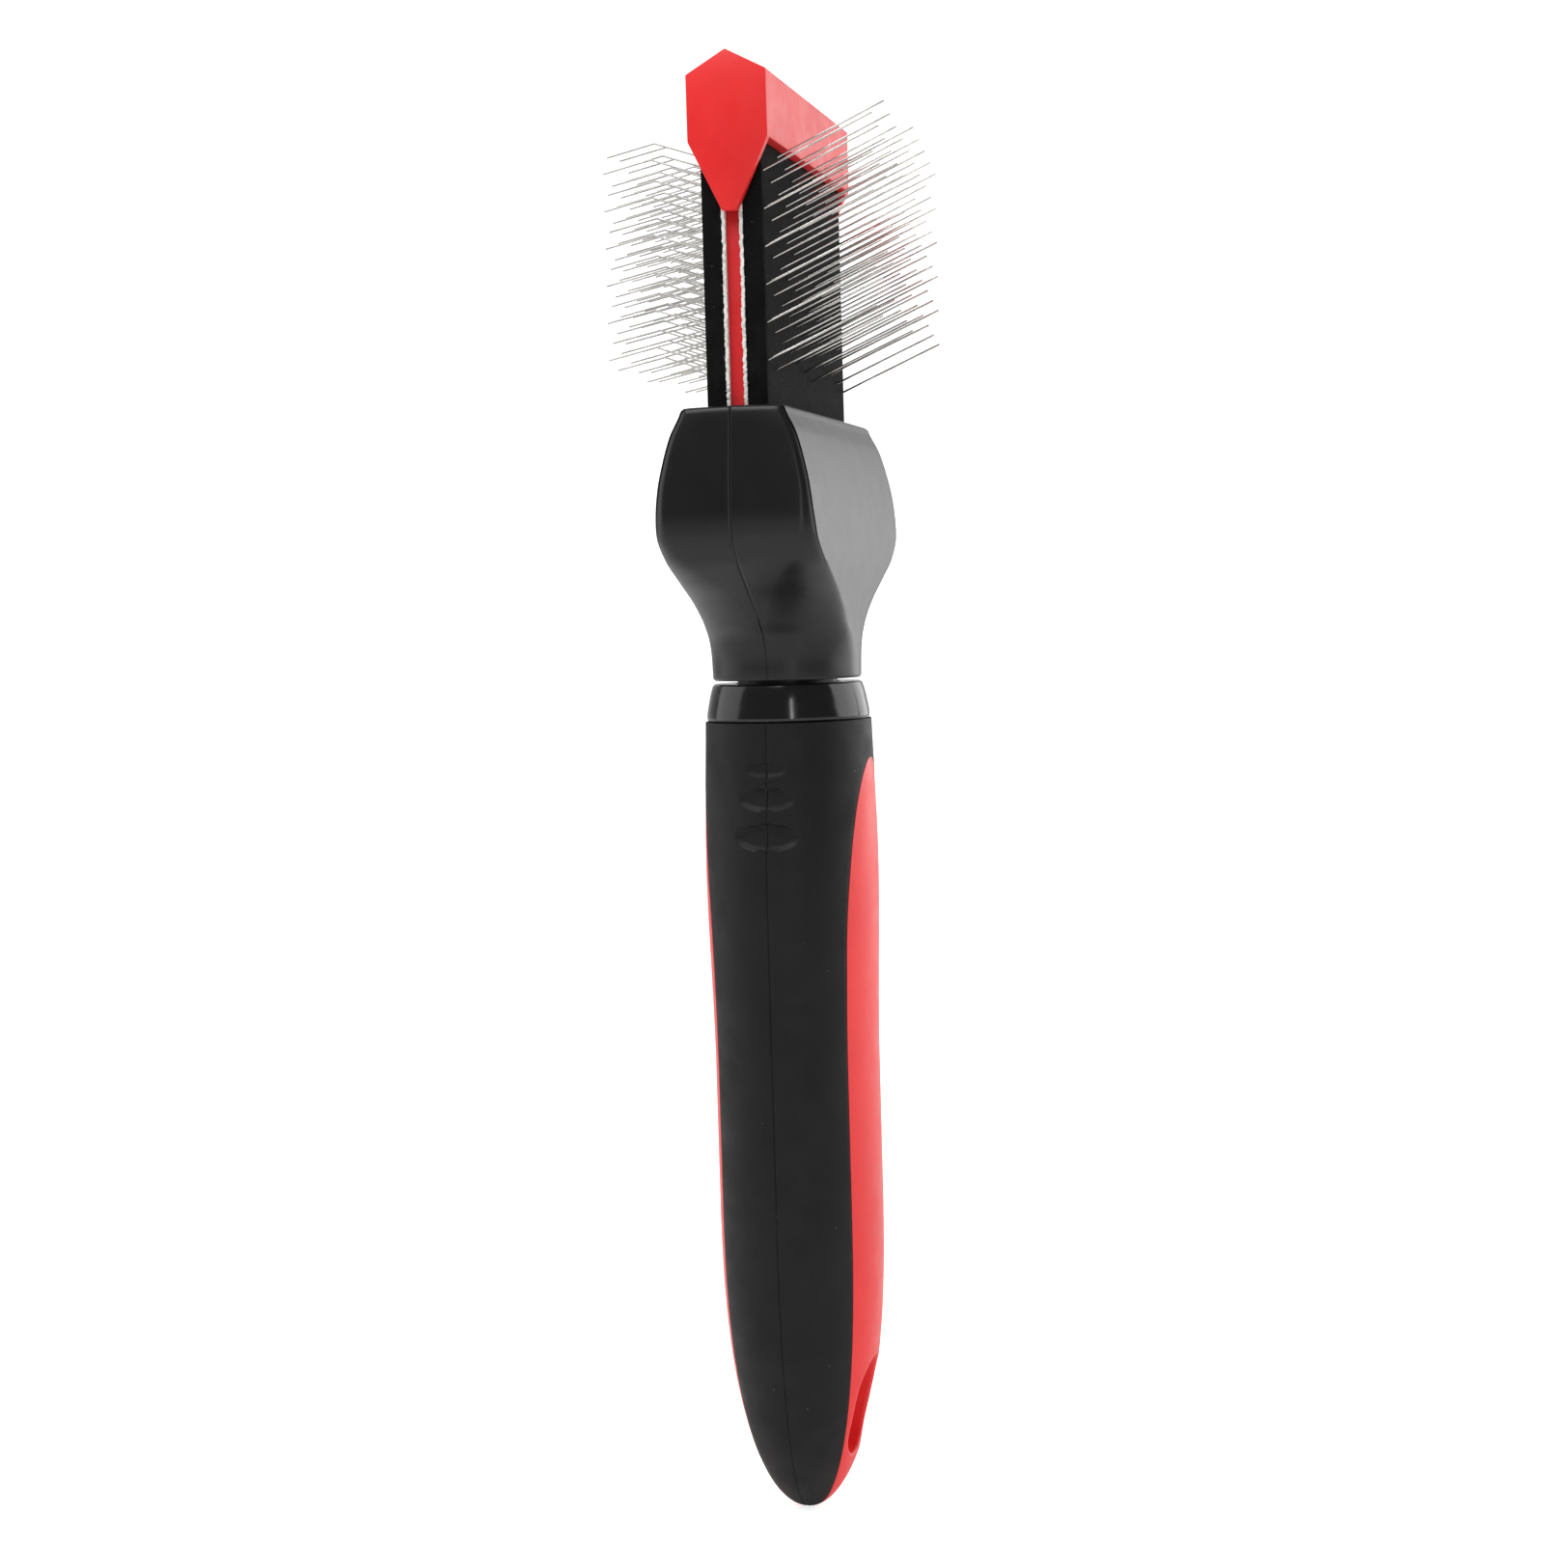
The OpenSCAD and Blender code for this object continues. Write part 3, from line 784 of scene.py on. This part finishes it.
def fabric_material():
    """White cloth with a plain weave and some fuzz."""
    g = Graph("white_fabric")
    threads = {"Vector": g.place, "Scale": 950.0, "Distortion": 0.6}
    across = g.node("ShaderNodeTexWave", threads, bands_direction="Y").outputs["Fac"]
    along = g.node("ShaderNodeTexWave", threads, bands_direction="Z").outputs["Fac"]
    weave = g.combine("MAXIMUM", across, along)
    fuzz = g.bump(g.noise(3000, 4), 0.5, 0.00006)
    normal = g.bump(weave, 0.7, 0.0001, fuzz)
    color = g.tone(500, 4, 0.3, 0.7, rgb(0.83, 0.82, 0.79), rgb(0.68, 0.66, 0.62))
    rough = g.remap(weave, 0, 1, 0.95, 0.8)
    return g.set(color=color, roughness=rough, normal=normal, sheen=0.3, sheen_roughness=0.5, specular=0.2)


def wire_material(name, light, dark, rough):
    """Drawn steel with fine lines along the wire."""
    g = Graph(name)
    color = g.tone(260, 4, 0.35, 0.65, light, dark, roughness=0.6)
    draw = g.bump(g.noise(2600, 3, stretch=(0.08, 1, 1)), 0.3, 0.00002)
    shine = g.remap(g.noise(900, 3, stretch=(0.1, 1, 1)), 0.3, 0.7, rough, rough + 0.12)
    return g.set(color=color, metallic=1.0, roughness=shine, normal=draw)


def acetal(name, light, dark):
    """Plain low-friction plastic with faint turning marks."""
    g = Graph(name)
    color = g.tone(150, 3, 0.35, 0.65, light, dark)
    turned = g.bump(g.noise(900, 3, stretch=(0.2, 0.2, 4)), 0.2, 0.00004)
    rough = g.remap(g.noise(600, 3), 0.3, 0.7, 0.35, 0.5)
    return g.set(color=color, roughness=rough, normal=turned)


def floor_material():
    """Pale floor that glows more to the eye than in reflections."""
    g = Graph("pale_floor")
    color = g.tone(3, 2, 0.3, 0.7, rgb(0.93, 0.93, 0.93), rgb(0.95, 0.95, 0.95))
    seen = g.node("ShaderNodeLightPath").outputs["Is Camera Ray"]
    glow = g.remap(seen, 0, 1, 0.1, 0.75)
    return g.set(color=color, roughness=0.9, specular=0.1, glow=rgb(1, 1, 1), glow_strength=glow)


def dress(obj, material, body, slot, *nodes):
    """Gives a new piece its material and body, and hides the CAD nodes it stands for. The slot is not used.
    """
    obj.data.materials.clear()
    obj.data.materials.append(material)
    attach(obj, body)
    if nodes:
        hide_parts(*nodes)
    return obj


def repaint(node, material):
    """Puts a material on a CAD node that stays in view."""
    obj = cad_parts[node]
    obj.data.materials.clear()
    obj.data.materials.append(material)


# ---- the object -----------------------------------------------------------------------------------

rubber = rubber_material()
core_red = red_plastic("red_core", rgb(0.85, 0.035, 0.035), rgb(0.78, 0.028, 0.028), 0.36)
cap_red = red_plastic("red_cap", rgb(0.8, 0.02, 0.02), rgb(0.72, 0.016, 0.017), 0.42, 0.38)
# The blade's red is darker than the cap's as painted shade: the web sits recessed behind the cap and lies in
# shade.
blade_red_painted_shade = red_plastic("red_blade", rgb(0.6, 0.016, 0.02), rgb(0.52, 0.013, 0.016), 0.42)
yoke_black = satin_black()
collar_black = gloss_black()
spindle_black = acetal("dark_acetal", rgb(0.02, 0.02, 0.02), rgb(0.03, 0.03, 0.03))
washer_white = acetal("white_acetal", rgb(0.8, 0.79, 0.74), rgb(0.72, 0.71, 0.67))
ring_black = gloss_black("ring_rubber", 0.3)
clip_steel = wire_material("spring_steel", rgb(0.55, 0.54, 0.53), rgb(0.42, 0.41, 0.4), 0.25)
foam_black = foam_material()
fabric_white = fabric_material()
firm_steel = wire_material("firm_wire", rgb(0.66, 0.64, 0.61), rgb(0.4, 0.38, 0.36), 0.12)
soft_steel = wire_material("soft_wire", rgb(0.5, 0.49, 0.47), rgb(0.36, 0.35, 0.33), 0.26)

for side, word in ((-1, "left"), (1, "right")):
    dress(grip_half(f"grip_{word}", side), rubber, "handle", "soft_rubber", f"grip_half_{word}")
    dress(core_half(f"core_{word}", side), core_red, "handle", "red_core", f"core_half_{word}")
    dress(yoke_half(f"yoke_{word}", side), yoke_black, "yoke", "satin_black", f"yoke_shell_{word}")
    foam = dress(foam_piece(f"foam_{word}", side), foam_black, "head", "black_foam", f"pad_foam_{word}")
    fabric = dress(
        fabric_piece(f"fabric_{word}", side), fabric_white, "head", "white_fabric", f"pad_fabric_{word}",
    )
    fray = dress(fray_piece(f"fray_{word}", side), fabric_white, "head", "white_fabric")

dress(collar_piece(), collar_black, "handle", "gloss_black", "collar")
dress(cap_piece(), cap_red, "head", "red_cap", "head_cap")
dress(blade_piece(), blade_red_painted_shade, "head", "red_blade", "flex_blade")
repaint("spindle", spindle_black)
repaint("thrust_washer", washer_white)
repaint("spindle_clip", clip_steel)
repaint("friction_ring", ring_black)
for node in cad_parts:
    if node.startswith("firm_pins_"):
        repaint(node, firm_steel)
    if node.startswith("soft_pins_"):
        repaint(node, soft_steel)


# ---- floor, light and camera ----------------------------------------------------------------------

def sweep():
    """Pale floor that curves up into a backdrop far behind."""
    bm = bmesh.new()
    front, depth, wide, rise, bend = -1.4, 1.2, 3.0, 2.0, 0.6
    steps = 16
    turns = [math.pi / 2 * i / steps for i in range(1, steps + 1)]
    path = [(front, 0.0), (depth - bend, 0.0)]
    path += [(depth - bend + bend * math.sin(a), bend - bend * math.cos(a)) for a in turns]
    path.append((depth, rise))
    across = [bm.verts.new((-wide, y, z)) for y, z in path]
    other = [bm.verts.new((wide, y, z)) for y, z in path]
    for i in range(len(path) - 1):
        bm.faces.new((across[i], other[i], other[i + 1], across[i + 1]))
    obj = new_object("sweep", bm)
    obj.data.materials.append(floor_material())


def area_light(name, place, aim, size, power):
    """Rectangular light at a place, aimed at a point."""
    data = bpy.data.lights.new(name, "AREA")
    data.shape = "RECTANGLE"
    data.size, data.size_y = size
    data.energy = power
    obj = bpy.data.objects.new(name, data)
    bpy.context.scene.collection.objects.link(obj)
    obj.location = place
    obj.rotation_mode = "QUATERNION"
    obj.rotation_quaternion = (Vector(aim) - Vector(place)).to_track_quat("-Z", "Y")


def make_camera():
    """Camera low in front of the near end, a little round to the firm side."""
    azimuth, elevation, roll = math.radians(15.6), math.radians(4.18), math.radians(-1.65)
    distance, look_right, look_up = 337 * MM, -0.94 * MM, 1.68 * MM
    back = Vector((
        math.sin(azimuth) * math.cos(elevation),
        -math.cos(azimuth) * math.cos(elevation),
        math.sin(elevation),
    ))
    right = (-back).cross(Vector((0, 0, 1))).normalized()
    up = right.cross(-back)
    middle = Vector((0, 0, 105 * MM))
    aim = middle + look_right * right + look_up * up
    data = bpy.data.cameras.new("camera")
    data.sensor_width = 36
    data.lens = 53.5
    data.clip_start = 0.01
    obj = bpy.data.objects.new("camera", data)
    bpy.context.scene.collection.objects.link(obj)
    obj.location = aim + back * distance
    obj.rotation_mode = "QUATERNION"
    turn = Matrix.Rotation(roll, 4, "Z").to_quaternion()
    obj.rotation_quaternion = (-back).to_track_quat("-Z", "Y") @ turn
    bpy.context.scene.camera = obj


def make_world():
    """White room to the eye, dim in reflections, so that the blacks stay black."""
    world = bpy.data.worlds.new("studio")
    bpy.context.scene.world = world
    world.use_nodes = True
    tree = world.node_tree
    background = tree.nodes["Background"]
    background.inputs["Color"].default_value = (1, 1, 1, 1)
    seen = tree.nodes.new("ShaderNodeLightPath")
    strength = tree.nodes.new("ShaderNodeMapRange")
    dim, full = 0.14, 1
    strength.inputs["To Min"].default_value = dim
    strength.inputs["To Max"].default_value = full
    tree.links.new(seen.outputs["Is Camera Ray"], strength.inputs["Value"])
    tree.links.new(strength.outputs["Result"], background.inputs["Strength"])


# Name, place in metres, width and height in metres, power in watts
LIGHTS = [
    ("key_high_front", (-0.25, -0.45, 0.95), (0.9, 0.5), 9),
    ("wall_right", (0.8, 0.3, 0.3), (0.7, 0.7), 3.5),
    ("back_right", (0.42, 0.72, 0.2), (0.45, 0.6), 1.9),
    ("strip_front_right", (0.22, -0.6, 0.2), (0.03, 0.35), 0.35),
    ("fill_left", (-0.9, -0.1, 0.3), (0.8, 0.8), 2.5),
]
LIGHTS_AIM = (0, 0, 0.11)

sweep()
for light_name, light_place, light_size, light_power in LIGHTS:
    area_light(light_name, light_place, LIGHTS_AIM, light_size, light_power)
make_camera()
make_world()
bpy.context.scene.view_settings.view_transform = "Standard"
